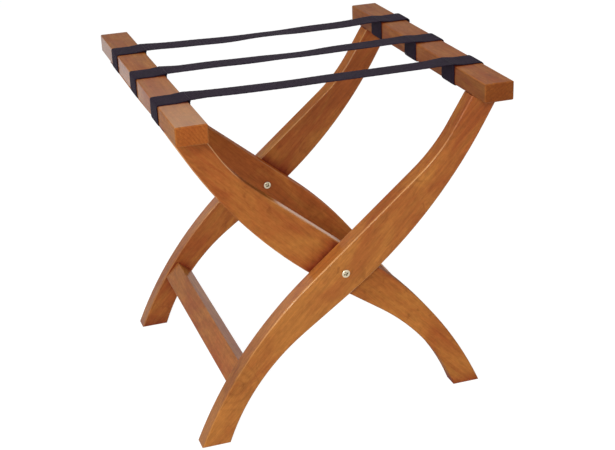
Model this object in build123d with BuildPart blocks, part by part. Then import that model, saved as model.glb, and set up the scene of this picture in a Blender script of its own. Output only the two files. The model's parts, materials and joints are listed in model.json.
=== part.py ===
"""Folding luggage rack: two crossed frames with S-curved legs, and three webbing straps between the rails.

Millimetres. +X runs along the straps, +Y along the rails away from the viewer, +Z up.
The origin is on the floor, in the middle of the four feet.
"""

import os
from math import radians, tan

from build123d import *

os.makedirs("parts", exist_ok=True)

# Overall sizes
rack_height = 508
rack_width = 483
rail_length = 522

# Rails
rail_width = 44.5
rail_height = 27.5
rail_round = 2.5
rail_end_ease = 1.5

# Legs: flat boards whose two long edges are S-curves, widest where they cross.
# Each edge is three straight runs with an arc at the shin and one at the knee. A shin corner is measured
# from the foot's own corner, a knee corner from the rail's.
leg_thickness = 27.5
leg_gap = 2.5
leg_ease = 1.5
rail_overhang = 40
foot_reach = 229.5
foot_width = 43
foot_straight = 5
knee_straight = 50
high_shin_in = 62.5
high_shin_height = 140
high_knee_in = 48.5
high_knee_drop = 78.5
low_shin_in = 38.5
low_shin_height = 98.5
low_knee_in = 105
low_knee_drop = 182

# Stretchers: low bars between the two legs of a frame, turned to follow the legs' lean
stretcher_height = 90
stretcher_depth = 34
stretcher_width = 31
stretcher_tilt = 48
stretcher_round = 1.5

# Hidden joints: dowels between rails and legs, slip tenons between stretchers and legs
dowel_diameter = 8
dowel_length = 36
dowel_rail_depth = 14
dowel_inset = 7.5
dowel_pitch = 14
tenon_width = 22
tenon_thickness = 9
tenon_length = 30
joint_clearance = 0.05
joint_end_room = 0.5

# Pivots: a screw in a sleeve nut, both with low heads
head_diameter = 12
head_height = 2.4
head_ease = 0.8
sleeve_diameter = 8
sleeve_setback = 10
sleeve_bore_depth = 24
screw_diameter = 6
screw_length = 30
washer_diameter = 20
running_clearance = 0.05
face_clearance = 0.3

# Straps
strap_width = 44
strap_thickness = 2
strap_leg_gap = 1.5
strap_sag = 3
seam_inset = 2

# Places that several pieces share
leg_top = rack_height - rail_height
rail_outer = rack_width / 2
rail_inner = rail_outer - rail_width
outer_leg_y = rail_length / 2 - rail_overhang - leg_thickness / 2
inner_leg_y = outer_leg_y - leg_thickness - leg_gap
leg_stack = 2 * leg_thickness + leg_gap
strap_y = inner_leg_y - leg_thickness / 2 - strap_leg_gap - strap_width / 2


def leg_edge(foot, shin, knee, top):
    """One long edge of a leg: three straight runs with an arc at the shin and one at the knee."""
    shin_run = (Vector(shin) - Vector(foot)).length
    knee_run = (Vector(top) - Vector(knee)).length
    radii = (
        (shin_run - foot_straight) / half_turn_tangent(foot, shin, knee),
        (knee_run - knee_straight) / half_turn_tangent(shin, knee, top),
    )
    return FilletPolyline(foot, shin, knee, top, radius=radii)


def half_turn_tangent(before, corner, after):
    """Tangent of half the angle that the edge turns at a corner."""
    turn = (Vector(corner) - Vector(before)).get_angle(Vector(after) - Vector(corner))
    return tan(radians(turn / 2))


def crossing(edge, axis):
    """Point where a leg's edge crosses an axis in its plane."""
    return [point for run in edge.edges() for point in run.find_intersection_points(axis)][0]


# The leg that rises to the right, in its own plane: (x, height)
foot_out = (-foot_reach, 0)
foot_in = (foot_width - foot_reach, 0)
top_in = (rail_inner, leg_top)
top_out = (rail_outer, leg_top)
high_shin = (foot_out[0] + high_shin_in, high_shin_height)
high_knee = (top_in[0] - high_knee_in, leg_top - high_knee_drop)
low_shin = (foot_in[0] + low_shin_in, low_shin_height)
low_knee = (top_out[0] - low_knee_in, leg_top - low_knee_drop)
high_edge = leg_edge(foot_out, high_shin, high_knee, top_in)
low_edge = leg_edge(foot_in, low_shin, low_knee, top_out)

# The pivot sits in the middle of the place where mirrored legs cross
upright = Axis((0, 0, 0), (0, 1, 0))
pivot_height = (crossing(high_edge, upright).Y + crossing(low_edge, upright).Y) / 2

# The stretcher sits in the middle of the leg's width at its height
level = Axis((0, stretcher_height, 0), (1, 0, 0))
stretcher_x = (crossing(high_edge, level).X + crossing(low_edge, level).X) / 2


def save(piece, name):
    piece.part.label = name
    export_step(piece.part, f"parts/{name}.step")


def shaped_leg(hand, middle):
    """S-curved leg, centred on y = middle; hand 1 rises to the right, -1 to the left."""
    inward = -1 if middle > 0 else 1
    with BuildPart() as leg:
        with BuildSketch(Plane.XZ.offset(-middle)):
            with BuildLine():
                add(high_edge)
                add(low_edge)
                Line(foot_out, foot_in)
                Line(top_in, top_out)
                if hand < 0:
                    mirror(about=Plane.YZ, mode=Mode.REPLACE)
            make_face()
        extrude(amount=leg_thickness / 2, both=True)
        rail_seat = leg.faces().sort_by(Axis.Z)[-1]
        chamfer(leg.faces().filter_by(Axis.Y).edges() - rail_seat.edges(), leg_ease)
        with BuildSketch(Plane.XZ.offset(-middle)):
            with Locations((0, pivot_height)):
                Circle(sleeve_diameter / 2 + running_clearance)
        extrude(amount=leg_thickness, both=True, mode=Mode.SUBTRACT)
        with BuildSketch(Plane.XY.offset(leg_top)):
            with Locations(*dowel_spots(hand, middle)):
                Circle(dowel_diameter / 2 + joint_clearance)
        hole_depth = dowel_length - dowel_rail_depth + joint_end_room
        extrude(amount=-hole_depth, mode=Mode.SUBTRACT)
        with BuildSketch(stretcher_plane(hand, middle + inward * leg_thickness / 2)):
            Rectangle(tenon_width + 2 * joint_clearance, tenon_thickness + 2 * joint_clearance)
        extrude(amount=inward * (tenon_length / 2 + joint_end_room), mode=Mode.SUBTRACT)
    return leg


def dowel_spots(hand, middle):
    """The two dowels of one leg, seen from above."""
    first = rail_inner + dowel_inset
    return [(hand * (first + n * dowel_pitch), middle) for n in range(2)]


def stretcher_plane(hand, y):
    """Upright plane across a stretcher, its x axis along the leg's lean and its normal towards the front."""
    lean = Vector(1, 0, 0).rotate(Axis.Y, -stretcher_tilt)
    return Plane(
        origin=(hand * stretcher_x, y, stretcher_height),
        x_dir=(hand * lean.X, 0, lean.Z),
        z_dir=(0, -1, 0),
    )


def rail(hand, leg_y):
    """Top rail with blind dowel holes in its underside, above the legs at y = leg_y and -leg_y."""
    with BuildPart() as bar:
        with BuildSketch(Plane.XY.offset(leg_top)):
            with Locations((hand * (rail_outer + rail_inner) / 2, 0)):
                Rectangle(rail_width, rail_length)
        extrude(amount=rail_height)
        chamfer(bar.faces().filter_by(Axis.Y).edges(), rail_end_ease)
        fillet(bar.edges().filter_by(Axis.Y), rail_round)
        with BuildSketch(Plane.XY.offset(leg_top)):
            with Locations(*dowel_spots(hand, leg_y), *dowel_spots(hand, -leg_y)):
                Circle(dowel_diameter / 2 + joint_clearance)
        extrude(amount=dowel_rail_depth + joint_end_room, mode=Mode.SUBTRACT)
    return bar


def stretcher(hand, leg_y):
    """Low bar between the inner faces of the legs at y = leg_y and -leg_y, with a mortise in each end."""
    half = leg_y - leg_thickness / 2
    with BuildPart() as bar:
        with BuildSketch(stretcher_plane(hand, 0)):
            Rectangle(stretcher_depth, stretcher_width)
        extrude(amount=half, both=True)
        fillet(bar.edges().filter_by(Axis.Y), stretcher_round)
        for end in (-1, 1):
            with BuildSketch(stretcher_plane(hand, end * half)):
                Rectangle(tenon_width + 2 * joint_clearance, tenon_thickness + 2 * joint_clearance)
            extrude(amount=end * (tenon_length / 2 + joint_end_room), mode=Mode.SUBTRACT)
    return bar


def rail_dowels(hand, leg_y):
    """Dowels that join a rail to its two legs."""
    with BuildPart() as dowels:
        with BuildSketch(Plane.XY.offset(leg_top + dowel_rail_depth)):
            with Locations(*dowel_spots(hand, leg_y), *dowel_spots(hand, -leg_y)):
                Circle(dowel_diameter / 2)
        extrude(amount=-dowel_length)
    return dowels


def stretcher_tenons(hand, leg_y):
    """Slip tenons, half in a stretcher's ends and half in its two legs."""
    half = leg_y - leg_thickness / 2
    with BuildPart() as tenons:
        for end in (-1, 1):
            with BuildSketch(stretcher_plane(hand, end * half)):
                Rectangle(tenon_width, tenon_thickness)
            extrude(amount=tenon_length / 2, both=True)
    return tenons


def pivot_screw(seat):
    """Screw whose head faces the front and seats at y = seat."""
    with BuildPart() as screw:
        with BuildSketch(Plane.XZ.offset(-seat)):
            with Locations((0, pivot_height)):
                Circle(head_diameter / 2)
        extrude(amount=head_height)
        chamfer(screw.faces().sort_by(Axis.Y)[0].edges(), head_ease)
        with BuildSketch(Plane.XZ.offset(-seat)):
            with Locations((0, pivot_height)):
                Circle(screw_diameter / 2)
        extrude(amount=-screw_length)
    return screw


def pivot_sleeve(seat, screw_seat):
    """Sleeve nut whose head faces the back and seats at y = seat, on the screw that seats at screw_seat."""
    mouth = screw_seat + sleeve_setback
    with BuildPart() as sleeve:
        with BuildSketch(Plane.XZ.offset(-seat)):
            with Locations((0, pivot_height)):
                Circle(head_diameter / 2)
        extrude(amount=-head_height)
        chamfer(sleeve.faces().sort_by(Axis.Y)[-1].edges(), head_ease)
        with BuildSketch(Plane.XZ.offset(-seat)):
            with Locations((0, pivot_height)):
                Circle(sleeve_diameter / 2)
        extrude(amount=seat - mouth)
        with BuildSketch(Plane.XZ.offset(-mouth)):
            with Locations((0, pivot_height)):
                Circle(screw_diameter / 2 + running_clearance)
        extrude(amount=-sleeve_bore_depth, mode=Mode.SUBTRACT)
    return sleeve


def pivot_washer(seat, inward):
    """Spacer on the outer leg's inner face at y = seat; inward 1 faces the back, -1 the front."""
    with BuildPart() as washer:
        with BuildSketch(Plane.XZ.offset(-seat)):
            with Locations((0, pivot_height)):
                Circle(washer_diameter / 2)
                Circle(sleeve_diameter / 2 + running_clearance, mode=Mode.SUBTRACT)
        extrude(amount=-inward * (leg_gap - face_clearance))
    return washer


def strap_loop(hand, middle):
    """Webbing wrapped round a rail, from the top over the outer side and back up to the span's underside."""
    half = strap_thickness / 2
    path = [
        (rail_inner + seam_inset, rack_height + half),
        (rail_outer + half, rack_height + half),
        (rail_outer + half, leg_top - half),
        (rail_inner - half, leg_top - half),
        (rail_inner - half, rack_height),
    ]
    with BuildPart() as loop:
        with BuildSketch(Plane.XZ.offset(-middle)):
            with BuildLine():
                FilletPolyline(*[(hand * x, z) for x, z in path], radius=rail_round + half)
            trace(line_width=strap_thickness)
        extrude(amount=strap_width / 2, both=True)
    return loop


def strap_span(middle):
    """Webbing between the two rails, with a slight sag."""
    seam = rail_inner + seam_inset
    free = rail_inner - strap_thickness
    with BuildPart() as span:
        with BuildSketch(Plane.XZ.offset(-middle)):
            with BuildLine():
                for z in (rack_height, rack_height + strap_thickness):
                    Line((-seam, z), (-free, z))
                    ThreePointArc((-free, z), (0, z - strap_sag), (free, z))
                    Line((free, z), (seam, z))
                for x in (-seam, seam):
                    Line((x, rack_height), (x, rack_height + strap_thickness))
            make_face()
        extrude(amount=strap_width / 2, both=True)
    return span


# Outer frame: right rail, legs that run down to the left, low stretcher
save(rail(1, outer_leg_y), "right_rail")
save(shaped_leg(1, -outer_leg_y), "outer_leg_front")
save(shaped_leg(1, outer_leg_y), "outer_leg_back")
save(stretcher(1, outer_leg_y), "outer_stretcher")
save(rail_dowels(1, outer_leg_y), "outer_rail_dowels")
save(stretcher_tenons(1, outer_leg_y), "outer_stretcher_tenons")

# Inner frame: left rail, legs that run down to the right, low stretcher
save(rail(-1, inner_leg_y), "left_rail")
save(shaped_leg(-1, -inner_leg_y), "inner_leg_front")
save(shaped_leg(-1, inner_leg_y), "inner_leg_back")
save(stretcher(-1, inner_leg_y), "inner_stretcher")
save(rail_dowels(-1, inner_leg_y), "inner_rail_dowels")
save(stretcher_tenons(-1, inner_leg_y), "inner_stretcher_tenons")

# Pivots: both screw heads face the front
front_screw_seat = -outer_leg_y - leg_thickness / 2
front_sleeve_seat = front_screw_seat + leg_stack + face_clearance
back_sleeve_seat = outer_leg_y + leg_thickness / 2
back_screw_seat = back_sleeve_seat - leg_stack - face_clearance
save(pivot_screw(front_screw_seat), "front_pivot_screw")
save(pivot_sleeve(front_sleeve_seat, front_screw_seat), "front_pivot_sleeve")
save(pivot_washer(front_screw_seat + leg_thickness, 1), "front_pivot_washer")
save(pivot_screw(back_screw_seat), "back_pivot_screw")
save(pivot_sleeve(back_sleeve_seat, back_screw_seat), "back_pivot_sleeve")
save(pivot_washer(back_sleeve_seat - leg_thickness, -1), "back_pivot_washer")

# Straps
for place, middle in (("front", -strap_y), ("middle", 0), ("back", strap_y)):
    save(strap_span(middle), f"{place}_strap_span")
    save(strap_loop(-1, middle), f"{place}_strap_left_loop")
    save(strap_loop(1, middle), f"{place}_strap_right_loop")
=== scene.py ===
"""Folding luggage rack: stained wood, dark webbing straps and nickel pivot screws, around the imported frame.

Metres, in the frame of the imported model: +X along the straps, +Y along the rails away from the viewer, and
+Z up.
"""

import json
from math import atan2, copysign, cos, pi, radians, sin, sqrt

import bpy
from mathutils import Matrix, Vector


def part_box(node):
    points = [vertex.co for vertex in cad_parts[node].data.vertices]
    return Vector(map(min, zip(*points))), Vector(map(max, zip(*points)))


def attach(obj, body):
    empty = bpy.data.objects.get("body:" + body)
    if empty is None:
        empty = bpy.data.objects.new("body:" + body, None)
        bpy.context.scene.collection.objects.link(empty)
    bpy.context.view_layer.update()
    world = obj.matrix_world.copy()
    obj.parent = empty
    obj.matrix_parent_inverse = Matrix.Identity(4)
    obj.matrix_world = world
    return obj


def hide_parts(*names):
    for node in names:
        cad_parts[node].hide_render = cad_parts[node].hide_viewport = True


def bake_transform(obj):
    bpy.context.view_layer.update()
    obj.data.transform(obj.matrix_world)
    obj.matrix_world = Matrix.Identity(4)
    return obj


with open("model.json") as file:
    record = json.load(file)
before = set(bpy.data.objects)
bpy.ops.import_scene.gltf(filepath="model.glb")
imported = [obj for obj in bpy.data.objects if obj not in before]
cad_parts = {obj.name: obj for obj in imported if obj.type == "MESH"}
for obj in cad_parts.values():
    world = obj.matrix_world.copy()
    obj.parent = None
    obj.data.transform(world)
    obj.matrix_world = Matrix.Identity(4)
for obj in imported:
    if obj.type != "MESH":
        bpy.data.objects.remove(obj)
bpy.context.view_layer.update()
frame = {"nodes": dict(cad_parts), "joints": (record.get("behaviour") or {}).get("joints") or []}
nodes = frame["nodes"]
MM = 0.001

# Places taken from the frame
RAIL_LOW, RAIL_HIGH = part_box("right_rail")
RAIL_INNER, RAIL_OUTER = RAIL_LOW.x, RAIL_HIGH.x
RAIL_BOTTOM, RAIL_TOP = RAIL_LOW.z, RAIL_HIGH.z
PIVOT = Vector(frame["joints"][0]["pos_m"])
LEG_LOW, LEG_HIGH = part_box("outer_leg_front")

# Camera
CAMERA_PLACE = Vector((-0.5668, -1.8037, 1.0312))
CAMERA_YAW = radians(17.921)
CAMERA_PITCH = radians(22.975)
CAMERA_ROLL = radians(-2.273)
PHOTO_WIDTH = 615
FOCAL_PIXELS = 1288.148
SENSOR_WIDTH = 36.0


# Node helpers

# Numbers of a colour mix node's sockets
MIX_FIRST, MIX_SECOND, MIX_RESULT = 6, 7, 2


def new_material(name):
    """Empty node material, with its tree and its output node."""
    material = bpy.data.materials.new(name)
    material.use_nodes = True
    tree = material.node_tree
    tree.nodes.clear()
    output = tree.nodes.new("ShaderNodeOutputMaterial")
    return material, tree, output


def add_node(tree, kind, inputs=None, **settings):
    """Node with its settings; inputs maps a socket's name or number to a value or another node's socket."""
    made = tree.nodes.new(kind)
    for key, value in settings.items():
        setattr(made, key, value)
    for key, value in (inputs or {}).items():
        if isinstance(value, bpy.types.NodeSocket):
            tree.links.new(value, made.inputs[key])
        else:
            made.inputs[key].default_value = value
    return made


def math_node(tree, operation, *values):
    made = add_node(tree, "ShaderNodeMath", dict(enumerate(values)), operation=operation)
    return made.outputs[0]


def times(tree, first, second):
    return math_node(tree, "MULTIPLY", first, second)


def times_plus(tree, value, factor, start):
    """start + value * factor."""
    return math_node(tree, "MULTIPLY_ADD", value, factor, start)


def vector_math(tree, operation, first, second=(0, 0, 0)):
    """Result of a vector operation: a number for a length or a dot product, and otherwise a vector."""
    made = add_node(tree, "ShaderNodeVectorMath", {0: first, 1: second}, operation=operation)
    return made.outputs["Value" if operation in ("LENGTH", "DOT_PRODUCT") else "Vector"]


def axes(tree, vector):
    """The X, Y and Z of a vector."""
    return add_node(tree, "ShaderNodeSeparateXYZ", {"Vector": vector}).outputs


def mapped(tree, vector, scale=(1, 1, 1), rotation=(0, 0, 0), location=(0, 0, 0)):
    inputs = {"Vector": vector, "Scale": scale, "Rotation": rotation, "Location": location}
    return add_node(tree, "ShaderNodeMapping", inputs).outputs["Vector"]


def noise(tree, vector, scale=1.0, detail=2.0, roughness=0.5, distortion=0.0):
    inputs = {
        "Vector": vector, "Scale": scale, "Detail": detail,
        "Roughness": roughness, "Distortion": distortion,
    }
    return add_node(tree, "ShaderNodeTexNoise", inputs).outputs["Fac"]


def ramp(tree, value, *stops):
    """Colour ramp; each stop is a place from 0 to 1 and a grey level or a colour."""
    made = add_node(tree, "ShaderNodeValToRGB", {"Fac": value})
    elements = made.color_ramp.elements
    while len(elements) < len(stops):
        elements.new(1.0)
    for element, (place, level) in zip(elements, stops):
        element.position = place
        colour = (level, level, level) if isinstance(level, (int, float)) else level
        element.color = (*colour, 1.0)
    return made.outputs["Color"]


def mixed(tree, factor, first, second, blend_type="MIX"):
    """Mix of two colours, each a socket or a tuple."""
    first, second = [(*value, 1.0) if isinstance(value, tuple) else value for value in (first, second)]
    inputs = {"Factor": factor, MIX_FIRST: first, MIX_SECOND: second}
    made = add_node(tree, "ShaderNodeMix", inputs, data_type="RGBA", blend_type=blend_type)
    return made.outputs[MIX_RESULT]


def tinted(tree, base, tint, share=1.0):
    """A colour multiplied by a tint, where share is 1."""
    return mixed(tree, share, base, tint, "MULTIPLY")


def object_place(tree):
    return add_node(tree, "ShaderNodeTexCoord").outputs["Object"]


def open_air(tree, reach, samples):
    """1 where nothing stands near the surface, and less in corners and recesses."""
    return add_node(tree, "ShaderNodeAmbientOcclusion", {"Distance": reach}, samples=samples).outputs["AO"]


def put_surface(tree, output, base, rough, height, strength, depth, **others):
    """Principled surface with a bump of the given height, strength and depth. others are more of its
    sockets, with _ for a space in their names."""
    bump = add_node(tree, "ShaderNodeBump", {"Height": height, "Strength": strength, "Distance": depth})
    inputs = {"Base Color": base, "Roughness": rough, "Normal": bump.outputs["Normal"]}
    for key, value in others.items():
        inputs[key.replace("_", " ")] = value
    shader = add_node(tree, "ShaderNodeBsdfPrincipled", inputs)
    tree.links.new(shader.outputs["BSDF"], output.inputs["Surface"])


# Mesh helpers

def new_piece(name, verts, faces, *materials):
    """Smooth mesh object in the scene."""
    mesh = bpy.data.meshes.new(name)
    mesh.from_pydata(verts, [], faces)
    for material in materials:
        mesh.materials.append(material)
    for face in mesh.polygons:
        face.use_smooth = True
    piece = bpy.data.objects.new(name, mesh)
    bpy.context.scene.collection.objects.link(piece)
    return piece


def tube_faces(rows, around):
    """Faces between rows of points, each row going once round."""
    faces = []
    for row in range(rows - 1):
        for k in range(around):
            a = row * around + k
            b = row * around + (k + 1) % around
            faces.append((a, a + around, b + around, b))
    return faces


def closed_tube_faces(rows, around):
    """Faces of such a tube with a cap at each end."""
    last = (rows - 1) * around
    caps = [tuple(range(around)), tuple(last + k for k in reversed(range(around)))]
    return tube_faces(rows, around) + caps


def flipped(faces):
    return [face[::-1] for face in faces]


def smooth_step(value, low, high):
    share = min(1.0, max(0.0, (value - low) / (high - low)))
    return share * share * (3 - 2 * share)


# Wood

GOLDEN = (0.448, 0.166, 0.036)
REDDISH = (0.345, 0.090, 0.022)
DARK_GRAIN = (0.120, 0.027, 0.007)
# Pale edges: wear, and a painted highlight
EDGE_WEAR_AND_HIGHLIGHT = (0.900, 0.480, 0.170)
# Painted reflection on an inner leg's rim
RIM_REFLECTION_COLOUR = (0.920, 0.350, 0.070)
# Painted reflection on a rail's top
TOP_SHEEN_COLOUR = (0.560, 0.350, 0.230)
SAWN_END = (0.275, 0.066, 0.011)
# Knot stain, partly painted shade
KNOT_STAIN_AND_SHADE_TINT = (0.66, 0.52, 0.55)
# Painted shade in corners where pieces meet
CORNER_SHADE_TINT = (0.60, 0.31, 0.44)

# How fine each figure of the wood is, along and across the grain, in cells per metre
WANDER_GRAIN = (2.6, 8)
BROAD_GRAIN = (4, 9)
CLOUD_GRAIN = (9, 22)
STREAK_GRAIN = (7, 95)
SMUDGE_GRAIN = (34, 62)
BLOTCH_GRAIN = (62, 62)
# Breaks up the edge wear and the painted edge highlight
RUB_AND_GLINT_GRAIN = (45, 45)
MOTTLE_GRAIN = (90, 190)
FIBRE_GRAIN = (20, 330)
PORE_GRAIN = (75, 1100)
SHEEN_SPOTS = 45

# How far the figure moves from one seed to the next
SEED_STEP = (1.37, 0.71, 0.53)

# How strongly each mark shows
STREAK_DEPTH = 0.36
SAWN_DEPTH = 0.8
RING_DEPTH = 0.12
SAWN_RING_DEPTH = 0.22
KNOT_RING_DEPTH = 0.14
FIBRE_DEPTH = 0.75
PORE_DEPTH = 0.22
SMUDGE_DEPTH = 0.36
FOOT_SHADE = 0.86
# The paleness of the edges is wear and a painted highlight, and that of the rim is a painted reflection
EDGE_PALENESS = 0.57
EDGE_COAT = 0.82
RIM_REFLECTION_PALENESS = 0.8
RIM_REFLECTION_COAT = 0.475
LACQUER_ROUGHNESS, ROUGHNESS_SPREAD = 0.46, 0.14
PORE_SINK = 0.6

# Reaches, and places along the grain
WANDER_REACH = 42 * MM
KNOT_BEND = 26 * MM
CORNER_REACH = 25 * MM
FOOT_END, FOOT_START = -220 * MM, -100 * MM
SIDE_FRONT, SIDE_BACK = -200 * MM, 50 * MM
# Where the painted reflection lies along an inner leg's rim
RIM_REFLECTION_PLACE = -78 * MM
RIM_REFLECTION_FULL, RIM_REFLECTION_END = 48 * MM, 80 * MM
BELOW_PIVOT, ABOVE_PIVOT = -50 * MM, 80 * MM
RAMP_MIDDLE = 0.5


class WoodLook:
    """How one board grew, was stained and wears, and where light and shade are painted on it. The grain runs
    up an outer leg, down an inner leg and to the back on rails and stretchers, and places along it are in
    metres from the board's middle. grain_turn turns the piece's axes so that x runs along the grain, pith is
    where the heart of the tree passes the board's middle, in the turned y and z, and seed picks the board's
    own figure."""

    rings = 7.5 * MM  # spacing of the growth rings
    knot = (0, -1, 1, 0)  # a knot's x, z, reach and darkness, that darkness partly painted shade; this one is too far away to show
    golden = 0.0  # how far the stain leans from red to gold
    drift = 0.0  # change of that along the grain, per metre
    shade = 1.0  # lightness of the wood
    fade = 0.0  # change of that along the grain, per metre
    top_sheen = 0.0  # how fast a painted reflection pales the top along the grain, per metre
    sawn = 1.0  # lightness of the sawn ends
    side = 1.0  # painted shade: lightness of the left side, in front
    corners = 1.0  # how dark the painted shade is beside other pieces
    rubbed_and_highlit = 0.5  # how far the edges show wear and a painted highlight
    worn_and_lit_along = ((-0.3, 1.0), (0.3, 1.0))  # places along the grain, and how much edge wear, painted edge highlight and painted rim light there is there
    faint = 0.0  # how far edge wear, painted highlight, painted rim light and lightness give out towards the foot of an outer leg
    rim_reflection_share = 0.0  # how strong the painted reflection and the extra lacquer are on the rim of an inner leg above the pivot
    shine = 0.0  # lacquer added on the rim of an outer leg below the pivot
    slick = 0.0  # lacquer added on the left side, behind
    lacquer = 0.12  # how thick the finish is
    gloss = 0.04  # shine of the wood below the finish
    rim_light_tint = (1.22, 1.05, 0.93)  # painted light: colour of the rim over that of the flat faces
    face_turn = (0, 0, 0)  # turns the piece's axes square to its faces
    boxy = True  # six flat faces; a leg has two, with a curved rim round them

    def __init__(self, grain_turn, pith, seed, **different):
        self.grain_turn = grain_turn
        self.pith = pith
        self.seed = seed
        for key, value in different.items():
            setattr(self, key, value)


class BoardPlace:
    """Where a point lies on a board, as sockets: from its middle, the same with x along the grain, that
    shifted to the board's own figure, and how far along the grain; and which way the surface faces there."""

    def __init__(self, tree, middle, look):
        coordinate = add_node(tree, "ShaderNodeTexCoord")
        self.object = coordinate.outputs["Object"]
        self.normal = coordinate.outputs["Normal"]
        self.local = vector_math(tree, "SUBTRACT", self.object, middle)
        self.board = mapped(tree, self.local, rotation=look.grain_turn)
        self.figure = mapped(tree, self.board, location=tuple(look.seed * step for step in SEED_STEP))
        self.along = axes(tree, self.board)["X"]
        self.ramp_place = math_node(tree, "ADD", self.along, RAMP_MIDDLE)
        self.facing = axes(tree, mapped(tree, self.normal, rotation=look.grain_turn))


def grained(tree, place, grain, **settings):
    """Noise drawn out along the grain."""
    along, across = grain
    return noise(tree, mapped(tree, place.figure, scale=(along, across, across)), **settings)


def ramp_along(tree, place, *stops):
    """Ramp along the grain; each stop is a place in metres from the board's middle and a grey level."""
    return ramp(tree, place.ramp_place, *[(RAMP_MIDDLE + metres, level) for metres, level in stops])


def darkened(tree, base, mask, depth):
    """A colour with dark grain in it, where mask is 1."""
    return mixed(tree, times(tree, mask, depth), base, DARK_GRAIN)


def growth_rings(tree, place, look):
    """Growth rings round a wandering pith line beside the board, bent round a knot that runs through it.
    Gives how dark the ring is and how near the knot is."""
    wander = grained(tree, place, WANDER_GRAIN, detail=2)
    across = mapped(tree, place.board, scale=(0, 1, 1), location=(0, -look.pith[0], -look.pith[1]))
    distance = times_plus(tree, wander, WANDER_REACH, vector_math(tree, "LENGTH", across))
    knot_x, knot_z, knot_reach, _ = look.knot
    beside = vector_math(tree, "SUBTRACT", place.object, (knot_x, 0, knot_z))
    beside = mapped(tree, beside, scale=(1 / knot_reach, 0, 1 / knot_reach))
    near_knot = ramp(tree, vector_math(tree, "LENGTH", beside), (0.0, 1.0), (0.45, 0.55), (1.0, 0.0))
    distance = times_plus(tree, near_knot, KNOT_BEND, distance)
    ring = math_node(tree, "FRACT", math_node(tree, "DIVIDE", distance, look.rings))
    tone = ramp(tree, ring, (0.0, 0.30), (0.22, 0.0), (0.70, 0.25), (0.93, 1.0), (1.0, 0.30))
    return tone, near_knot


def stain_clouds(tree, place, look):
    """Stain taken up unevenly, in broad reddish and golden clouds and streaks."""
    cloud = grained(tree, place, CLOUD_GRAIN, detail=3, roughness=0.6, distortion=0.8)
    streak = grained(tree, place, STREAK_GRAIN, detail=2, roughness=0.55)
    uneven = times_plus(tree, math_node(tree, "SUBTRACT", streak, 0.5), STREAK_DEPTH, cloud)
    tone = math_node(tree, "ADD", times_plus(tree, place.along, look.drift, look.golden), uneven)
    return mixed(tree, ramp(tree, tone, (0.32, 0.0), (0.66, 1.0)), REDDISH, GOLDEN)


def ringed(tree, place, look, base, near_knot, ring):
    """Rings in the stain, stronger near the knot and on sawn ends, which drink more stain."""
    sawn_end = ramp(tree, math_node(tree, "ABSOLUTE", place.facing["X"]), (0.58, 0.0), (0.80, 1.0))
    end_colour = tuple(look.sawn * level for level in SAWN_END)
    base = mixed(tree, times(tree, sawn_end, SAWN_DEPTH), base, end_colour)
    depth = times_plus(tree, sawn_end, SAWN_RING_DEPTH, RING_DEPTH)
    depth = times_plus(tree, near_knot, KNOT_RING_DEPTH, depth)
    return darkened(tree, base, ring, depth)


def mottled(tree, place, look, base, fibre, pores):
    """Fibres, fine and broad mottling, pores and a few dark smudges."""
    mottle = grained(tree, place, MOTTLE_GRAIN, detail=3, roughness=0.65)
    broad = grained(tree, place, BROAD_GRAIN, detail=2)
    smudge = grained(tree, place, SMUDGE_GRAIN, detail=2, distortion=1.4)
    base = tinted(tree, base, ramp(tree, fibre, (0.30, 0.78), (0.70, 1.14)), FIBRE_DEPTH)
    base = tinted(tree, base, ramp(tree, mottle, (0.30, 0.88), (0.70, 1.10)))
    base = tinted(tree, base, ramp(tree, broad, (0.25, 0.88 * look.shade), (0.75, 1.10 * look.shade)))
    base = tinted(tree, base, times_plus(tree, place.along, look.fade, 1.0))
    base = darkened(tree, base, pores, PORE_DEPTH)
    return darkened(tree, base, ramp(tree, smudge, (0.63, 0.0), (0.78, 1.0)), SMUDGE_DEPTH)


def knot_stain_and_shade(tree, place, look, base, near_knot):
    """Darker, redder blotches round the knot, partly stain and partly painted shade."""
    blotch = grained(tree, place, BLOTCH_GRAIN, detail=2, distortion=0.6)
    blotch = times(tree, near_knot, ramp(tree, blotch, (0.38, 0.15), (0.58, 1.0)))
    # Darkness round the knot, partly stain and partly painted shade
    return tinted(tree, base, KNOT_STAIN_AND_SHADE_TINT, times(tree, blotch, look.knot[3]))


def sheen_and_corner_shade(tree, place, look, base):
    """A top paled towards one end by a painted reflection, and painted shade, darker and redder, in corners
    where pieces meet.
    """
    # Painted reflection: the top paled towards one end
    inputs = {0: place.along, 1: look.top_sheen}
    paled = add_node(tree, "ShaderNodeMath", inputs, operation="MULTIPLY", use_clamp=True).outputs[0]
    upward = ramp(tree, place.facing["Z"], (0.70, 0.0), (0.95, 1.0))
    base = mixed(tree, times(tree, paled, upward), base, TOP_SHEEN_COLOUR)
    # Painted shade: darker and redder where other pieces stand near
    corner = ramp(tree, open_air(tree, CORNER_REACH, samples=6), (0.50, look.corners), (0.92, 0.0))
    return tinted(tree, base, CORNER_SHADE_TINT, corner)


def left_side(tree, place, look, base):
    """The left side, darker in front as painted shade. Gives the colour, and a mask of the part behind,
    smoothed by wear.
    """
    facing_left = vector_math(tree, "DOT_PRODUCT", place.normal, (-1, 0, 0))
    on_left = ramp(tree, facing_left, (0.6, 0.0), (0.95, 1.0))
    behind = ramp_along(tree, place, (SIDE_FRONT, 0.0), (SIDE_BACK, 1.0))
    smooth = times(tree, on_left, behind)
    in_front = math_node(tree, "SUBTRACT", on_left, smooth)
    # Painted shade on the front of the left side
    return tinted(tree, base, (look.side, look.side, look.side), in_front), smooth


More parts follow.
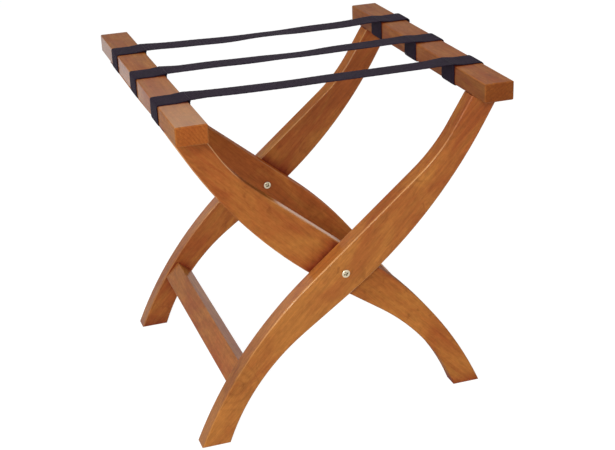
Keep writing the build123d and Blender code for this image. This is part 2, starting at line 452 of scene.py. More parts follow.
def face_masks(tree, place, look):
    """A mask that is 1 on a board's eased edges and one that is 1 on its rim."""
    size = vector_math(tree, "ABSOLUTE", mapped(tree, place.normal, rotation=look.face_turn))
    parts = axes(tree, size)
    if look.boxy:
        round_y = math_node(tree, "MAXIMUM", parts["X"], parts["Z"])
        rim = 0.0
    else:
        round_y = vector_math(tree, "LENGTH", vector_math(tree, "MULTIPLY", size, (1, 0, 1)))
        rim = ramp(tree, parts["Y"], (0.25, 1.0), (0.65, 0.0))
    edge = ramp(tree, math_node(tree, "MAXIMUM", parts["Y"], round_y), (0.82, 1.0), (0.97, 0.0))
    return edge, rim


def wear_and_painted_light(tree, place, look, base):
    """Edges paler and shinier from wear and a painted highlight, a rim tinted with painted light, a darker
    foot, and a painted reflection with more lacquer on an inner leg's rim. Gives the colour and the thickness
    of the lacquer."""
    edge, rim = face_masks(tree, place, look)
    kept = ramp_along(tree, place, (FOOT_END, 1.0 - look.faint), (FOOT_START, 1.0))
    # Darker towards the foot
    base = tinted(tree, base, times_plus(tree, kept, 1 - FOOT_SHADE, FOOT_SHADE))
    worn_and_lit = times(tree, ramp_along(tree, place, *look.worn_and_lit_along), kept)
    edge = times(tree, edge, worn_and_lit)
    rim = times(tree, rim, worn_and_lit)
    # Painted light on the rim
    base = tinted(tree, base, look.rim_light_tint, rim)

    rub_and_glint = ramp(tree, grained(tree, place, RUB_AND_GLINT_GRAIN, detail=3), (0.30, 0.50), (0.65, 1.0))
    rubbed_and_highlit = times(tree, edge, rub_and_glint)
    # Edge wear and a painted highlight
    base = mixed(tree, times(tree, rubbed_and_highlit, EDGE_PALENESS * look.rubbed_and_highlit), base, EDGE_WEAR_AND_HIGHLIGHT)
    from_rim_reflection = math_node(tree, "ABSOLUTE", math_node(tree, "SUBTRACT", place.along, RIM_REFLECTION_PLACE))
    rim_reflection = times(tree, ramp(tree, from_rim_reflection, (RIM_REFLECTION_FULL, 1.0), (RIM_REFLECTION_END, 0.0)), rim)
    # Painted reflection on the rim
    base = mixed(tree, times(tree, rim_reflection, RIM_REFLECTION_PALENESS * look.rim_reflection_share), base, RIM_REFLECTION_COLOUR)

    coat = times_plus(tree, rubbed_and_highlit, EDGE_COAT * look.rubbed_and_highlit, look.lacquer)
    coat = times_plus(tree, rim_reflection, RIM_REFLECTION_COAT * look.rim_reflection_share, coat)
    low_rim = times(tree, rim, ramp_along(tree, place, (BELOW_PIVOT, 1.0), (ABOVE_PIVOT, 0.0)))
    return base, times_plus(tree, low_rim, look.shine, coat)


def wood(name, middle, look):
    """Stained wood under a satin lacquer that has sunk a little into pores and fibres."""
    material, tree, output = new_material(name)
    place = BoardPlace(tree, middle, look)
    fibre = grained(tree, place, FIBRE_GRAIN, detail=4, roughness=0.62)
    pores = ramp(tree, grained(tree, place, PORE_GRAIN, detail=1), (0.58, 0.0), (0.70, 1.0))
    ring, near_knot = growth_rings(tree, place, look)
    base = stain_clouds(tree, place, look)
    base = ringed(tree, place, look, base, near_knot, ring)
    base = mottled(tree, place, look, base, fibre, pores)
    base = knot_stain_and_shade(tree, place, look, base, near_knot)
    base = sheen_and_corner_shade(tree, place, look, base)
    base, smooth_side = left_side(tree, place, look, base)
    base, coat = wear_and_painted_light(tree, place, look, base)
    coat = times_plus(tree, smooth_side, look.slick, coat)
    sheen = noise(tree, place.local, scale=SHEEN_SPOTS, detail=2)
    rough = times_plus(tree, sheen, ROUGHNESS_SPREAD, LACQUER_ROUGHNESS)
    height = times_plus(tree, pores, -PORE_SINK, fibre)
    put_surface(
        tree, output, base, rough, height, strength=0.10, depth=0.15 * MM, IOR=1.5,
        Specular_IOR_Level=look.gloss, Coat_Weight=coat, Coat_Roughness=0.22, Coat_IOR=1.5,
    )
    return material


WELD_REACH = 0.002 * MM
FLAT_ANGLE = radians(0.4)
EDGE_ANGLE = radians(25)
EDGE_ROUND = 0.8 * MM
EDGE_SEGMENTS = 3
FLAT_FACE_WEIGHT = 100


def soften(piece):
    """Round a wooden piece's edges, and shade its flat faces flat."""
    weld = piece.modifiers.new("weld", "WELD")
    weld.merge_threshold = WELD_REACH
    flatten = piece.modifiers.new("flatten", "DECIMATE")
    flatten.decimate_type = "DISSOLVE"
    flatten.angle_limit = FLAT_ANGLE
    bevel = piece.modifiers.new("bevel", "BEVEL")
    bevel.width = EDGE_ROUND
    bevel.segments = EDGE_SEGMENTS
    bevel.limit_method = "ANGLE"
    bevel.angle_limit = EDGE_ANGLE
    normals = piece.modifiers.new("normals", "WEIGHTED_NORMAL")
    normals.weight = FLAT_FACE_WEIGHT
    for face in piece.data.polygons:
        face.use_smooth = True


LEG_LEAN = atan2(LEG_HIGH.z - LEG_LOW.z, LEG_HIGH.x - LEG_LOW.x)
STRETCHER_TILT = radians(48)
TO_THE_BACK = (0, 0, radians(-90))
RAIL = dict(grain_turn=TO_THE_BACK, rubbed_and_highlit=0.02, lacquer=0.07, rings=4.4 * MM)
STRETCHER = dict(grain_turn=TO_THE_BACK)
OUTER_LEG = dict(grain_turn=(0, LEG_LEAN, 0), boxy=False)
INNER_LEG = dict(grain_turn=(0, -LEG_LEAN, 0), boxy=False, gloss=0.0)
# How each board looks, painted light and shade among it: darker left sides and corners, paled rail tops, lit
# rims, edge highlights, a reflection on a rim and dark knots
WOODEN = {
    "left_rail": WoodLook(
        **RAIL, pith=(64 * MM, -60 * MM), seed=41, golden=0.03, drift=-0.25, shade=0.99, fade=-0.55,
        top_sheen=-2.0, side=0.86, slick=0.55,
    ),
    "right_rail": WoodLook(
        **RAIL, pith=(-40 * MM, -66 * MM), seed=12, golden=-0.05, shade=0.90, fade=-0.35,
        sawn=0.72, side=0.70,
    ),
    "outer_leg_front": WoodLook(
        **OUTER_LEG, pith=(62 * MM, 12 * MM), seed=3, golden=0.06, drift=-0.5, fade=-0.22,
        knot=(-172 * MM, 90 * MM, 45 * MM, 0.55), corners=0.0, rubbed_and_highlit=0.7,
        worn_and_lit_along=((200 * MM, 1.0), (250 * MM, 0.15)), faint=0.75, shine=0.40, rim_light_tint=(1.12, 1.05, 0.97),
    ),
    "outer_leg_back": WoodLook(
        **OUTER_LEG, pith=(58 * MM, -18 * MM), seed=4, golden=-0.12, drift=-0.1, shade=0.95, fade=-0.1,
        rubbed_and_highlit=0.65, faint=0.6, shine=0.52, rim_light_tint=(1.44, 1.56, 0.88),
    ),
    "inner_leg_front": WoodLook(
        **INNER_LEG, pith=(66 * MM, -10 * MM), seed=25, golden=0.03, drift=0.4, fade=0.30,
        knot=(15 * MM, 235 * MM, 75 * MM, 0.9), lacquer=0.10, rim_reflection_share=0.9,
        worn_and_lit_along=(
            (-225 * MM, 1.8), (-205 * MM, 0.1), (-160 * MM, 0.1),
            (-145 * MM, 1.0), (0.0, 1.0), (30 * MM, 0.05),
        ),
    ),
    "inner_leg_back": WoodLook(
        **INNER_LEG, pith=(54 * MM, 22 * MM), seed=46, golden=-0.15, shade=1.12, fade=0.45,
        knot=(75 * MM, 188 * MM, 70 * MM, 0.1), rubbed_and_highlit=0.3,
    ),
    "outer_stretcher": WoodLook(
        **STRETCHER, pith=(30 * MM, 44 * MM), seed=47, shade=1.12, rubbed_and_highlit=0.25, lacquer=0.24,
        face_turn=(0, STRETCHER_TILT, 0),
    ),
    "inner_stretcher": WoodLook(
        **STRETCHER, pith=(-26 * MM, 52 * MM), seed=8, rubbed_and_highlit=0.12, face_turn=(0, -STRETCHER_TILT, 0),
    ),
}

for node_name, look in WOODEN.items():
    low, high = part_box(node_name)
    board = nodes[node_name]
    board.material_slots[0].material = wood(f"wood_{node_name}", tuple((low + high) / 2), look)
    soften(board)


# Bare wood, nylon and nickel

BEECH_DARK = (0.50, 0.31, 0.15)
BEECH_PALE = (0.66, 0.45, 0.25)
BEECH_FLECK = (0.36, 0.20, 0.09)
NICKEL_DULL = (0.55, 0.47, 0.33)
NICKEL_BRIGHT = (0.69, 0.60, 0.44)
# Painted shade in the head's recesses
NICKEL_RECESS_SHADE = (0.085, 0.088, 0.066)
RECESS_SHADE_REACH = 2.0 * MM

# How fine their marks are, in cells per metre
BEECH_FIBRES = (300, 40, 300)
BEECH_FLECKS = (900, 120, 900)
NYLON_HAZE = 420
NICKEL_SCUFFS = (2600, 300, 700)
NICKEL_STAINS = 260


def bare_wood(name):
    """Unstained beech, for the dowels and tenons inside the joints."""
    material, tree, output = new_material(name)
    place = object_place(tree)
    fibre = noise(tree, mapped(tree, place, scale=BEECH_FIBRES), detail=3)
    flecks = noise(tree, mapped(tree, place, scale=BEECH_FLECKS), detail=1)
    base = ramp(tree, fibre, (0.3, BEECH_DARK), (0.7, BEECH_PALE))
    base = mixed(tree, ramp(tree, flecks, (0.6, 0.0), (0.75, 0.35)), base, BEECH_FLECK)
    rough = ramp(tree, fibre, (0, 0.6), (1, 0.75))
    put_surface(tree, output, base, rough, fibre, strength=0.2, depth=0.1 * MM)
    return material


def nylon(name):
    """Black nylon with faint moulding haze."""
    material, tree, output = new_material(name)
    haze = noise(tree, object_place(tree), scale=NYLON_HAZE, detail=3)
    base = ramp(tree, haze, (0.3, 0.012), (0.7, 0.022))
    rough = ramp(tree, haze, (0, 0.42), (1, 0.58))
    put_surface(tree, output, base, rough, haze, strength=0.15, depth=0.05 * MM)
    return material


def nickel(name):
    """Satin nickel plating, a little yellow, with fine scuffs and painted shade darkening its recesses."""
    material, tree, output = new_material(name)
    place = object_place(tree)
    scuffs = noise(tree, mapped(tree, place, scale=NICKEL_SCUFFS), detail=2)
    stains = noise(tree, place, scale=NICKEL_STAINS, detail=3)
    base = ramp(tree, stains, (0.3, NICKEL_DULL), (0.7, NICKEL_BRIGHT))
    # Painted shade: darker where the recess closes in
    recess_shade = ramp(tree, open_air(tree, RECESS_SHADE_REACH, samples=8), (0.45, 1.0), (0.85, 0.0))
    base = mixed(tree, recess_shade, base, NICKEL_RECESS_SHADE)
    rough = times_plus(tree, scuffs, 0.22, 0.30)
    put_surface(tree, output, base, rough, scuffs, strength=0.08, depth=0.03 * MM, Metallic=1.0)
    return material


beech_material = bare_wood("bare_beech")
nylon_material = nylon("black_nylon")
nickel_material = nickel("satin_nickel")
for frame_name in ("outer", "inner"):
    nodes[f"{frame_name}_rail_dowels"].material_slots[0].material = beech_material
    nodes[f"{frame_name}_stretcher_tenons"].material_slots[0].material = beech_material
for place_name in ("front", "back"):
    nodes[f"{place_name}_pivot_washer"].material_slots[0].material = nylon_material


# Webbing

WARP_PITCH = 1.7 * MM
WEFT_PITCH = 1.3 * MM
WEAVE_LOW = (0.0042, 0.0021, 0.0045)
WEAVE_MIDDLE = (0.0168, 0.0083, 0.0193)
WEAVE_HIGH = (0.0338, 0.0172, 0.0399)
SHEEN_COLOUR = (0.80, 0.72, 0.90, 1.0)
THREAD_DARK = (0.006, 0.005, 0.007)
THREAD_PALE = (0.024, 0.020, 0.028)

# How fine their marks are, in cells per metre
WEBBING_FUZZ = 1500
WEBBING_WEAR = 38
THREAD_TWIST = (2400, 900, 2400)


def webbing(name):
    """Black woven webbing: lengthwise ribs crossed by weft. UV runs along and across the strap in metres."""
    material, tree, output = new_material(name)
    coordinate = add_node(tree, "ShaderNodeTexCoord").outputs
    split = axes(tree, coordinate["UV"])
    along = math_node(tree, "DIVIDE", split["X"], WEFT_PITCH)
    across = math_node(tree, "DIVIDE", split["Y"], WARP_PITCH)
    row = math_node(tree, "FLOOR", across)
    rib = math_node(tree, "SINE", times(tree, math_node(tree, "FRACT", across), pi))
    stepped = times_plus(tree, row, 0.5, along)
    pick = math_node(tree, "SINE", times(tree, stepped, 2 * pi))
    weave = times(tree, rib, times_plus(tree, pick, 0.35, 0.65))

    fuzz = noise(tree, coordinate["Object"], scale=WEBBING_FUZZ, detail=2)
    wear = noise(tree, coordinate["Object"], scale=WEBBING_WEAR, detail=3, roughness=0.6)
    base = ramp(tree, weave, (0.0, WEAVE_LOW), (0.55, WEAVE_MIDDLE), (1.0, WEAVE_HIGH))
    base = tinted(tree, base, ramp(tree, wear, (0.3, 0.80), (0.7, 1.25)))
    height = times_plus(tree, fuzz, 0.5, weave)
    put_surface(
        tree, output, base, 0.85, height, strength=0.7, depth=0.35 * MM,
        Specular_IOR_Level=0.09, Sheen_Weight=0.02, Sheen_Roughness=0.5, Sheen_Tint=SHEEN_COLOUR,
    )
    return material


def sewing_thread(name):
    """Bonded black thread with a twist."""
    material, tree, output = new_material(name)
    twist = noise(tree, mapped(tree, object_place(tree), scale=THREAD_TWIST), detail=1)
    base = ramp(tree, twist, (0.3, THREAD_DARK), (0.7, THREAD_PALE))
    rough = ramp(tree, twist, (0, 0.45), (1, 0.6))
    put_surface(tree, output, base, rough, twist, strength=0.5, depth=0.1 * MM)
    return material


webbing_material = webbing("black_webbing")
thread_material = sewing_thread("black_thread")


# Straps

STRAP_WIDTH = 44 * MM
STRAP_THICKNESS = 1.4 * MM
STRAP_OFF_RAIL = 0.85 * MM
CORNER_RADIUS = 3.0 * MM
EASY_RADIUS = 22 * MM
FOLD_RISE = 1.9 * MM
FOLD_RUN = 17 * MM
OVERLAP = 1.2 * MM
SEAM_RADIUS = 0.8 * MM
LOOSE_LIFT = 0.2
STITCH_PITCH = 3.1 * MM
STITCH_LENGTH = 2.4 * MM
STITCH_RISE = 0.30 * MM
STITCH_SINK = 0.14 * MM
THREAD_RADIUS = 0.26 * MM
THREAD_END_RADIUS = 0.156 * MM
THREAD_SIDES = 6
STITCH_STEPS = 6
PATH_STEP = 2 * MM
WIDTH_STEPS = 14
ARC_STEPS = 8

# How the span lies: waves are in radians per metre, and phase sets where they begin
LONG_RIPPLE_WAVE = 29
SHORT_RIPPLE_WAVE, SHORT_RIPPLE_PHASE, SHORT_RIPPLE_SHARE = 63, 2.3, 0.5
SWAY_WAVE, SWAY_PHASE = 23, 3
SWAY = 0.6 * MM
TWIST_REACH = 45 * MM
HOLD_GROWTH = 4

# Woven edges, thinner than the middle and a little scalloped, one edge out of step with the other
LARGE_SCALLOP, LARGE_SCALLOP_WAVE, LARGE_SCALLOP_STEP = 0.22 * MM, 870, 2
SMALL_SCALLOP, SMALL_SCALLOP_WAVE, SMALL_SCALLOP_STEP = 0.20 * MM, 531, 5
SCALLOP_FALL = 5
EDGE_THINNING = 0.6
EDGE_FALL = 10
EDGE_CROWDING = 0.8


def rounded_path(corners):
    """Points along straight runs between corners, each (x, z, radius), with an arc at each inner corner."""
    path = [Vector(corners[0][:2])]
    for before, corner, after in zip(corners, corners[1:], corners[2:]):
        at, radius = Vector(corner[:2]), corner[2]
        to_before = (Vector(before[:2]) - at).normalized()
        to_after = (Vector(after[:2]) - at).normalized()
        half_angle = to_before.angle(to_after) / 2
        centre = at + (to_before + to_after).normalized() * (radius / sin(half_angle))
        reach = radius * cos(half_angle) / sin(half_angle)
        start = at + to_before * reach - centre
        turn = start.angle_signed(at + to_after * reach - centre)
        for step in range(ARC_STEPS + 1):
            spoke = start.copy()
            spoke.rotate(Matrix.Rotation(-turn * step / ARC_STEPS, 2))
            path.append(centre + spoke)
    path.append(Vector(corners[-1][:2]))
    return path


def evenly(path, step):
    """The same path with points no further apart than about step."""
    fine = [path[0]]
    for a, b in zip(path, path[1:]):
        pieces = max(1, round((b - a).length / step))
        fine += [a.lerp(b, (n + 1) / pieces) for n in range(pieces)]
    return fine


def loop_path(loose):
    """Half of a strap's middle line in (x, z), from the middle of the span round the right rail to the sewn
    end. The span leaves the rail on top of that end. loose is how far the loop stands off the rail's outer
    edge."""
    out = RAIL_OUTER + STRAP_OFF_RAIL
    inner = RAIL_INNER - STRAP_OFF_RAIL
    top = RAIL_TOP + STRAP_OFF_RAIL
    bottom = RAIL_BOTTOM - STRAP_OFF_RAIL
    raised = top + FOLD_RISE
    under = raised - STRAP_THICKNESS
    half = [
        (0, raised, 0), (RAIL_INNER, raised, EASY_RADIUS), (RAIL_INNER + FOLD_RUN, top, EASY_RADIUS),
        (out + loose, top + LOOSE_LIFT * loose, CORNER_RADIUS), (out, bottom, CORNER_RADIUS),
        (inner, bottom, CORNER_RADIUS), (inner, under, SEAM_RADIUS), (inner - OVERLAP, under, 0),
    ]
    return rounded_path(half)


def strap_path(loose):
    """Middle line of a whole strap, from its sewn end on the left rail to the one on the right rail."""
    left = [Vector((-p.x, p.y)) for p in reversed(loop_path(0.0))]
    return evenly(left + loop_path(loose)[1:], PATH_STEP)


def bell(x, middle, reach):
    """A smooth hump: 1 at middle, near 0 beyond twice the reach."""
    return 1 / (1 + ((x - middle) / reach) ** 4)


def strap_shift(x, sag, ripple, tilt, twist, twist_at, phase):
    """How the free span lies at x: its drop, its tilt about its own length and its sideways sway. The rails
    hold its ends flat."""
    share = min(1.0, abs(x) / RAIL_INNER)
    free = 1 - share * share
    hold = min(1.0, HOLD_GROWTH * free)
    wave = sin(x * LONG_RIPPLE_WAVE + phase)
    wave += SHORT_RIPPLE_SHARE * sin(x * SHORT_RIPPLE_WAVE + SHORT_RIPPLE_PHASE * phase)
    drop = sag * free - ripple * wave * hold
    lean = tilt * hold + twist * bell(x, twist_at, TWIST_REACH) * hold
    sway = SWAY * sin(x * SWAY_WAVE + SWAY_PHASE * phase) * hold
    return drop, lean, sway


def strap_section(travelled, phase):
    """Points round a strap, this far along it: distances across it and heights over its middle line."""
    points = []
    for side in (1, -1):
        for k in range(WIDTH_STEPS + 1):
            even = side * (1 - 2 * k / WIDTH_STEPS)
            v = copysign(abs(even) ** EDGE_CROWDING, even)
            height = side * STRAP_THICKNESS / 2 * (1 - EDGE_THINNING * abs(v) ** EDGE_FALL)
            scallop = LARGE_SCALLOP * sin(travelled * LARGE_SCALLOP_WAVE + LARGE_SCALLOP_STEP * v + phase)
            scallop += SMALL_SCALLOP * sin(travelled * SMALL_SCALLOP_WAVE + SMALL_SCALLOP_STEP * v)
            points.append((v * STRAP_WIDTH / 2 + scallop * v ** SCALLOP_FALL, height))
    return points


def stitch(places, up):
    """Vertices and faces of one stitch: thread along the given places, which stands up in the middle and
    goes into the webbing at both ends."""
    verts = []
    for n, place in enumerate(places):
        share = sin(pi * n / (len(places) - 1))
        centre = place + Vector((0, 0, up * (STITCH_RISE * share - STITCH_SINK)))
        radius = THREAD_END_RADIUS + (THREAD_RADIUS - THREAD_END_RADIUS) * share
        for k in range(THREAD_SIDES):
            angle = 2 * pi * k / THREAD_SIDES
            verts.append(centre + Vector((radius * cos(angle), 0, radius * sin(angle))))
    return verts, closed_tube_faces(len(places), THREAD_SIDES)


def seam_lines(lay):
    """Stitches of both seams, above the span and below the sewn end. lay puts (x, z) and a distance across
    the strap in its place."""
    seam = RAIL_INNER - STRAP_OFF_RAIL - OVERLAP / 2
    above = RAIL_TOP + STRAP_OFF_RAIL + FOLD_RISE + STRAP_THICKNESS / 2
    below = above - 2 * STRAP_THICKNESS
    count = int(STRAP_WIDTH / STITCH_PITCH) - 1
    for x in (-seam, seam):
        for up, z in ((1, above), (-1, below)):
            for n in range(count):
                start = (n - (count - 1) / 2) * STITCH_PITCH - STITCH_LENGTH / 2
                steps = [start + STITCH_LENGTH * k / STITCH_STEPS for k in range(STITCH_STEPS + 1)]
                yield stitch([lay(Vector((x, z)), y) for y in steps], up)


def strap(name, middle, phase, loose, skew, **lie):
    """One length of webbing over both rails, its span sagging, rippling and twisting a little. skew is how
    much further back it lies on the right rail than on the left one. Gives the piece and its length."""

    def lay(point, y):
        free_span = abs(point.x) < RAIL_INNER - STRAP_OFF_RAIL / 2 and point.y > RAIL_TOP
        drop, lean, sway = strap_shift(point.x, phase=phase, **lie) if free_span else (0, 0, 0)
        slide = skew * smooth_step(point.x, -RAIL_INNER, RAIL_INNER)
        return Vector((point.x, middle + slide + sway + y * cos(lean), point.y - drop - y * sin(lean)))

    path = strap_path(loose)
    verts, lengths = [], []
    travelled = 0.0
    for n, point in enumerate(path):
        run = path[min(n + 1, len(path) - 1)] - path[max(n - 1, 0)]
        travelled += (point - path[n - 1]).length if n else 0.0
        lengths.append(travelled)
        normal = Vector((-run.y, 0, run.x)).normalized()
        verts += [lay(point, y) + normal * height for y, height in strap_section(travelled, phase)]
    around = 2 * (WIDTH_STEPS + 1)
    faces = flipped(closed_tube_faces(len(path), around))
    woven_verts, woven_faces = len(verts), len(faces)
    for thread, thread_faces in seam_lines(lay):
        faces += [tuple(len(verts) + k for k in face) for face in thread_faces]
        verts += thread

    piece = new_piece(name, verts, faces, webbing_material, thread_material)
    uv = piece.data.uv_layers.new(name="strap")
    for loop in piece.data.loops:
        at = loop.vertex_index
        if at < woven_verts:
            uv.data[loop.index].uv = (lengths[at // around], verts[at].y - middle + STRAP_WIDTH)
    for face in piece.data.polygons:
        face.material_index = int(face.index >= woven_faces)
    return piece, travelled


STRAPS = {
    "front": dict(
        sag=2.1 * MM, ripple=0.20 * MM, tilt=radians(3.2), twist=radians(0.5), twist_at=-40 * MM,
        phase=0.4, loose=0.3 * MM, skew=0.0,
    ),
    "middle": dict(
        sag=2.0 * MM, ripple=0.45 * MM, tilt=radians(3.0), twist=radians(2.3), twist_at=8 * MM,
        phase=4.1, loose=1.2 * MM, skew=1.0 * MM,
    ),
    "back": dict(
        sag=3.7 * MM, ripple=0.50 * MM, tilt=radians(1.7), twist=radians(3.6), twist_at=0,
        phase=0.9, loose=4.5 * MM, skew=3.2 * MM,
    ),
}
for place, lie in STRAPS.items():
    low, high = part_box(f"{place}_strap_span")
    piece, length = strap(f"{place}_strap", (low.y + high.y) / 2, **lie)
    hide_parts(f"{place}_strap_span", f"{place}_strap_left_loop", f"{place}_strap_right_loop")
    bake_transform(piece)


# Pivot screws and sleeve nuts

HEAD_RADIUS = 6.0 * MM
HEAD_HEIGHT = 2.4 * MM
RIM_HEIGHT = 1.0 * MM
RIM_BREAK = 0.55 * MM
SEAT_RADIUS = 5.91 * MM
DOME_REACH = 0.96
DOME_FALL = 2.2
RECESS_REACH = 3.9 * MM
RECESS_HALF_WIDTH = 1.05 * MM
RECESS_DEPTH = 2.1 * MM
RECESS_WALL = 0.28 * MM
WING_TAPER = 0.35
WING_FULL = 0.70
SHANK_RADIUS = 3.0 * MM
NECK_ROUND = 0.3 * MM
TIP_RADIUS = 2.1 * MM
TIP_LENGTH = 1.5 * MM
SLEEVE_RADIUS = 4.0 * MM
SLEEVE_END_RADIUS = 3.6 * MM
BORE_RADIUS = 3.05 * MM
BORE_MOUTH_RADIUS = 3.35 * MM
BORE_DEPTH = 24 * MM
MOUTH_LENGTH = 0.5 * MM
THREAD_PITCH = 1.25 * MM
THREAD_DEPTH = 0.35 * MM
THREAD_LENGTH = 17 * MM
THREAD_STEPS = 6
TURN_STEPS = 72
DOME_STEPS = 34
SHARP_ANGLE = radians(40)
SLEEVE_TURN = 0.6


def head_top(x, y):
    """Height of a domed head with a tapered cross recess, over the seat."""
    out = DOME_REACH * sqrt(x * x + y * y) / HEAD_RADIUS
    dome = RIM_HEIGHT + (HEAD_HEIGHT - RIM_HEIGHT) * sqrt(max(0.0, 1 - out ** DOME_FALL))
    wings = 0.0
    for along, across in ((x, y), (y, x)):
        taper = RECESS_HALF_WIDTH * (1 - WING_TAPER * abs(along) / RECESS_REACH)
        inside = 1 - smooth_step(abs(across), taper, taper + RECESS_WALL)
        wings = max(wings, inside * (1 - smooth_step(abs(along), WING_FULL * RECESS_REACH, RECESS_REACH)))
    return dome - RECESS_DEPTH * wings


def head_ring(radius, turn):
    """Ring of (radius, height) on a head whose recess is turned by turn."""
    angles = [2 * pi * k / TURN_STEPS - turn for k in range(TURN_STEPS)]
    return [(radius, head_top(radius * cos(angle), radius * sin(angle))) for angle in angles]


def level_ring(radius, height):
    return [(radius, height)] * TURN_STEPS


def thread_rings(start):
    """Rings of a thread cut into the shank below the depth start, which runs in and out over one turn."""
    steps = round(THREAD_LENGTH / THREAD_PITCH * THREAD_STEPS)
    rings = []
    for n in range(steps + 1):
        depth = start + THREAD_LENGTH * n / steps
        fade = min(1.0, n / THREAD_STEPS, (steps - n) / THREAD_STEPS)
        ring = []
        for k in range(TURN_STEPS):
            share = (depth / THREAD_PITCH - k / TURN_STEPS) % 1.0
            cut = 1 - abs(2 * share - 1)
            ring.append((SHANK_RADIUS - THREAD_DEPTH * cut * fade, -depth))
        rings.append(ring)
    return rings


def turned_piece(name, seat, facing, turn, profile, thread_from=None):
    """Closed turned piece: a recessed head that faces +1 or -1 along y from its seat, then the profile of
    (radius, depth) below the seat, ending on the axis."""
    rings = [head_ring(HEAD_RADIUS * n / DOME_STEPS, turn) for n in range(1, DOME_STEPS + 1)]
    rings += [level_ring(HEAD_RADIUS, RIM_BREAK), level_ring(SEAT_RADIUS, 0.0)]
    rings += [level_ring(radius, -depth) for radius, depth in profile]
    if thread_from is not None:
        rings[-1:-1] = thread_rings(thread_from)
    axis = Vector((PIVOT.x, seat, PIVOT.z))
    verts = []
    for ring in rings:
        for k, (radius, height) in enumerate(ring):
            angle = 2 * pi * k / TURN_STEPS
            verts.append(axis + Vector((radius * cos(angle), facing * height, radius * sin(angle))))
    top, end = len(verts), len(verts) + 1
    for height in (head_top(0, 0), rings[-1][0][1]):
        verts.append(axis + Vector((0, facing * height, 0)))

    faces = tube_faces(len(rings), TURN_STEPS)
    last = (len(rings) - 1) * TURN_STEPS
    for k in range(TURN_STEPS):
        after = (k + 1) % TURN_STEPS
        faces.append((top, k, after))
        faces.append((end, last + after, last + k))
    piece = new_piece(name, verts, flipped(faces) if facing > 0 else faces, nickel_material)
    piece.data.set_sharp_from_angle(angle=SHARP_ANGLE)
    return piece


def pivot_screw(place, turn):
    """A pivot's screw, facing the viewer."""
    low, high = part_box(f"{place}_pivot_screw")
    seat = low.y + HEAD_HEIGHT
    length = high.y - seat
    plain = length - THREAD_LENGTH - TIP_LENGTH
    profile = [(SHANK_RADIUS + NECK_ROUND, 0.0), (SHANK_RADIUS, NECK_ROUND), (TIP_RADIUS, length)]
    return turned_piece(f"{place}_screw", seat, -1, turn, profile, thread_from=plain)


def pivot_sleeve(place, turn):
    """The sleeve nut that a pivot's screw goes into from the other side."""
    low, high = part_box(f"{place}_pivot_sleeve")
    seat = high.y - HEAD_HEIGHT
    length = seat - low.y
    mouth = length - MOUTH_LENGTH
    profile = [
        (SLEEVE_RADIUS, 0.0), (SLEEVE_RADIUS, mouth), (SLEEVE_END_RADIUS, length),
        (BORE_MOUTH_RADIUS, length), (BORE_RADIUS, mouth), (BORE_RADIUS, length - BORE_DEPTH),
    ]
    return turned_piece(f"{place}_sleeve", seat, 1, turn, profile)


PIVOT_TURNS = {"front": radians(20), "back": radians(-33)}
for place, turn in PIVOT_TURNS.items():
    screw = pivot_screw(place, turn)
    sleeve = pivot_sleeve(place, turn + SLEEVE_TURN)
    for piece, node_name in ((screw, f"{place}_pivot_screw"), (sleeve, f"{place}_pivot_sleeve")):
        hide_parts(node_name)
        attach(piece, "outer_frame")


# Stage

FLOOR_HALF = 6.0
FLOOR_BOUNCE = (0.72, 0.72, 0.72, 1)
FLOOR_SHADOW = (0.24, 0.24, 0.24, 1)
FLOOR_GLOW = 0.93
WHITE = (1, 1, 1, 1)
AMBIENT = 0.28
RACK_MIDDLE = (0, 0, 0.28)


def seen_directly(tree):
    """1 for what the camera sees, also in a mirror or through glass."""
    rays = add_node(tree, "ShaderNodeLightPath").outputs
    seen = math_node(tree, "MAXIMUM", rays["Is Camera Ray"], rays["Is Glossy Ray"])
    return math_node(tree, "MAXIMUM", seen, rays["Is Transmission Ray"])


def floor_plane():
    """Pale floor that reads as white to the camera and keeps the rack's shadow."""
    material, tree, output = new_material("pale_floor")
    bounce = add_node(tree, "ShaderNodeBsdfDiffuse", {"Color": FLOOR_BOUNCE})
    shadow = add_node(tree, "ShaderNodeBsdfDiffuse", {"Color": FLOOR_SHADOW})
    glow = add_node(tree, "ShaderNodeEmission", {"Color": WHITE, "Strength": FLOOR_GLOW})
    white = add_node(tree, "ShaderNodeAddShader", {0: shadow.outputs[0], 1: glow.outputs[0]})
    inputs = {0: seen_directly(tree), 1: bounce.outputs[0], 2: white.outputs[0]}
    both = add_node(tree, "ShaderNodeMixShader", inputs)
    tree.links.new(both.outputs[0], output.inputs["Surface"])
    corners = [(FLOOR_HALF * x, FLOOR_HALF * y, 0) for x, y in ((-1, -1), (1, -1), (1, 1), (-1, 1))]
    new_piece("floor", corners, [(0, 1, 2, 3)], material)


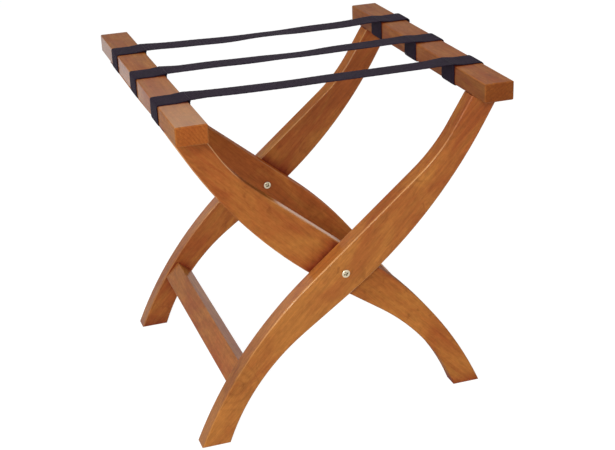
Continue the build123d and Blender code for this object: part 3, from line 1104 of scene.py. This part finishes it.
def surroundings():
    """White all round for what is seen and mirrored, and an even soft light."""
    world = bpy.data.worlds.new("studio")
    world.use_nodes = True
    tree = world.node_tree
    tree.nodes.clear()
    strength = times_plus(tree, seen_directly(tree), 1 - AMBIENT, AMBIENT)
    back = add_node(tree, "ShaderNodeBackground", {"Color": WHITE, "Strength": strength})
    output = add_node(tree, "ShaderNodeOutputWorld")
    tree.links.new(back.outputs[0], output.inputs["Surface"])
    bpy.context.scene.world = world


def area_light(name, place, size, power, target=RACK_MIDDLE):
    """Round soft lamp at place, aimed at target."""
    lamp = bpy.data.lights.new(name, "AREA")
    lamp.shape = "DISK"
    lamp.size = size
    lamp.energy = power
    light = bpy.data.objects.new(name, lamp)
    light.location = place
    light.rotation_mode = "QUATERNION"
    light.rotation_quaternion = (Vector(target) - Vector(place)).to_track_quat("-Z", "Y")
    bpy.context.scene.collection.objects.link(light)


def photo_camera():
    """Camera at the photograph's place and angle."""
    ahead = Vector((
        sin(CAMERA_YAW) * cos(CAMERA_PITCH), cos(CAMERA_YAW) * cos(CAMERA_PITCH), -sin(CAMERA_PITCH),
    ))
    level = Vector((cos(CAMERA_YAW), -sin(CAMERA_YAW), 0))
    upward = level.cross(ahead)
    right = level * cos(CAMERA_ROLL) + upward * sin(CAMERA_ROLL)
    up = upward * cos(CAMERA_ROLL) - level * sin(CAMERA_ROLL)
    data = bpy.data.cameras.new("camera")
    data.sensor_width = SENSOR_WIDTH
    data.lens = FOCAL_PIXELS / PHOTO_WIDTH * SENSOR_WIDTH
    camera = bpy.data.objects.new("camera", data)
    turn = Matrix((right, up, -ahead)).transposed()
    camera.matrix_world = Matrix.Translation(CAMERA_PLACE) @ turn.to_4x4()
    bpy.context.scene.collection.objects.link(camera)
    bpy.context.scene.camera = camera


floor_plane()
surroundings()
area_light("key", (-1.42, -3.25, 1.70), size=1.1, power=87)
area_light("top", (-0.3, -0.3, 2.4), size=1.4, power=6)
area_light("side", (-1.45, -1.05, 1.30), size=0.28, power=4.2)
area_light("fill", (1.9, -0.55, 0.95), size=0.4, power=3)
area_light("back", (0.22, 1.50, 1.80), size=0.4, power=2.5, target=(-0.2, -0.2, 0.5))
photo_camera()
bpy.context.scene.view_settings.view_transform = "Standard"
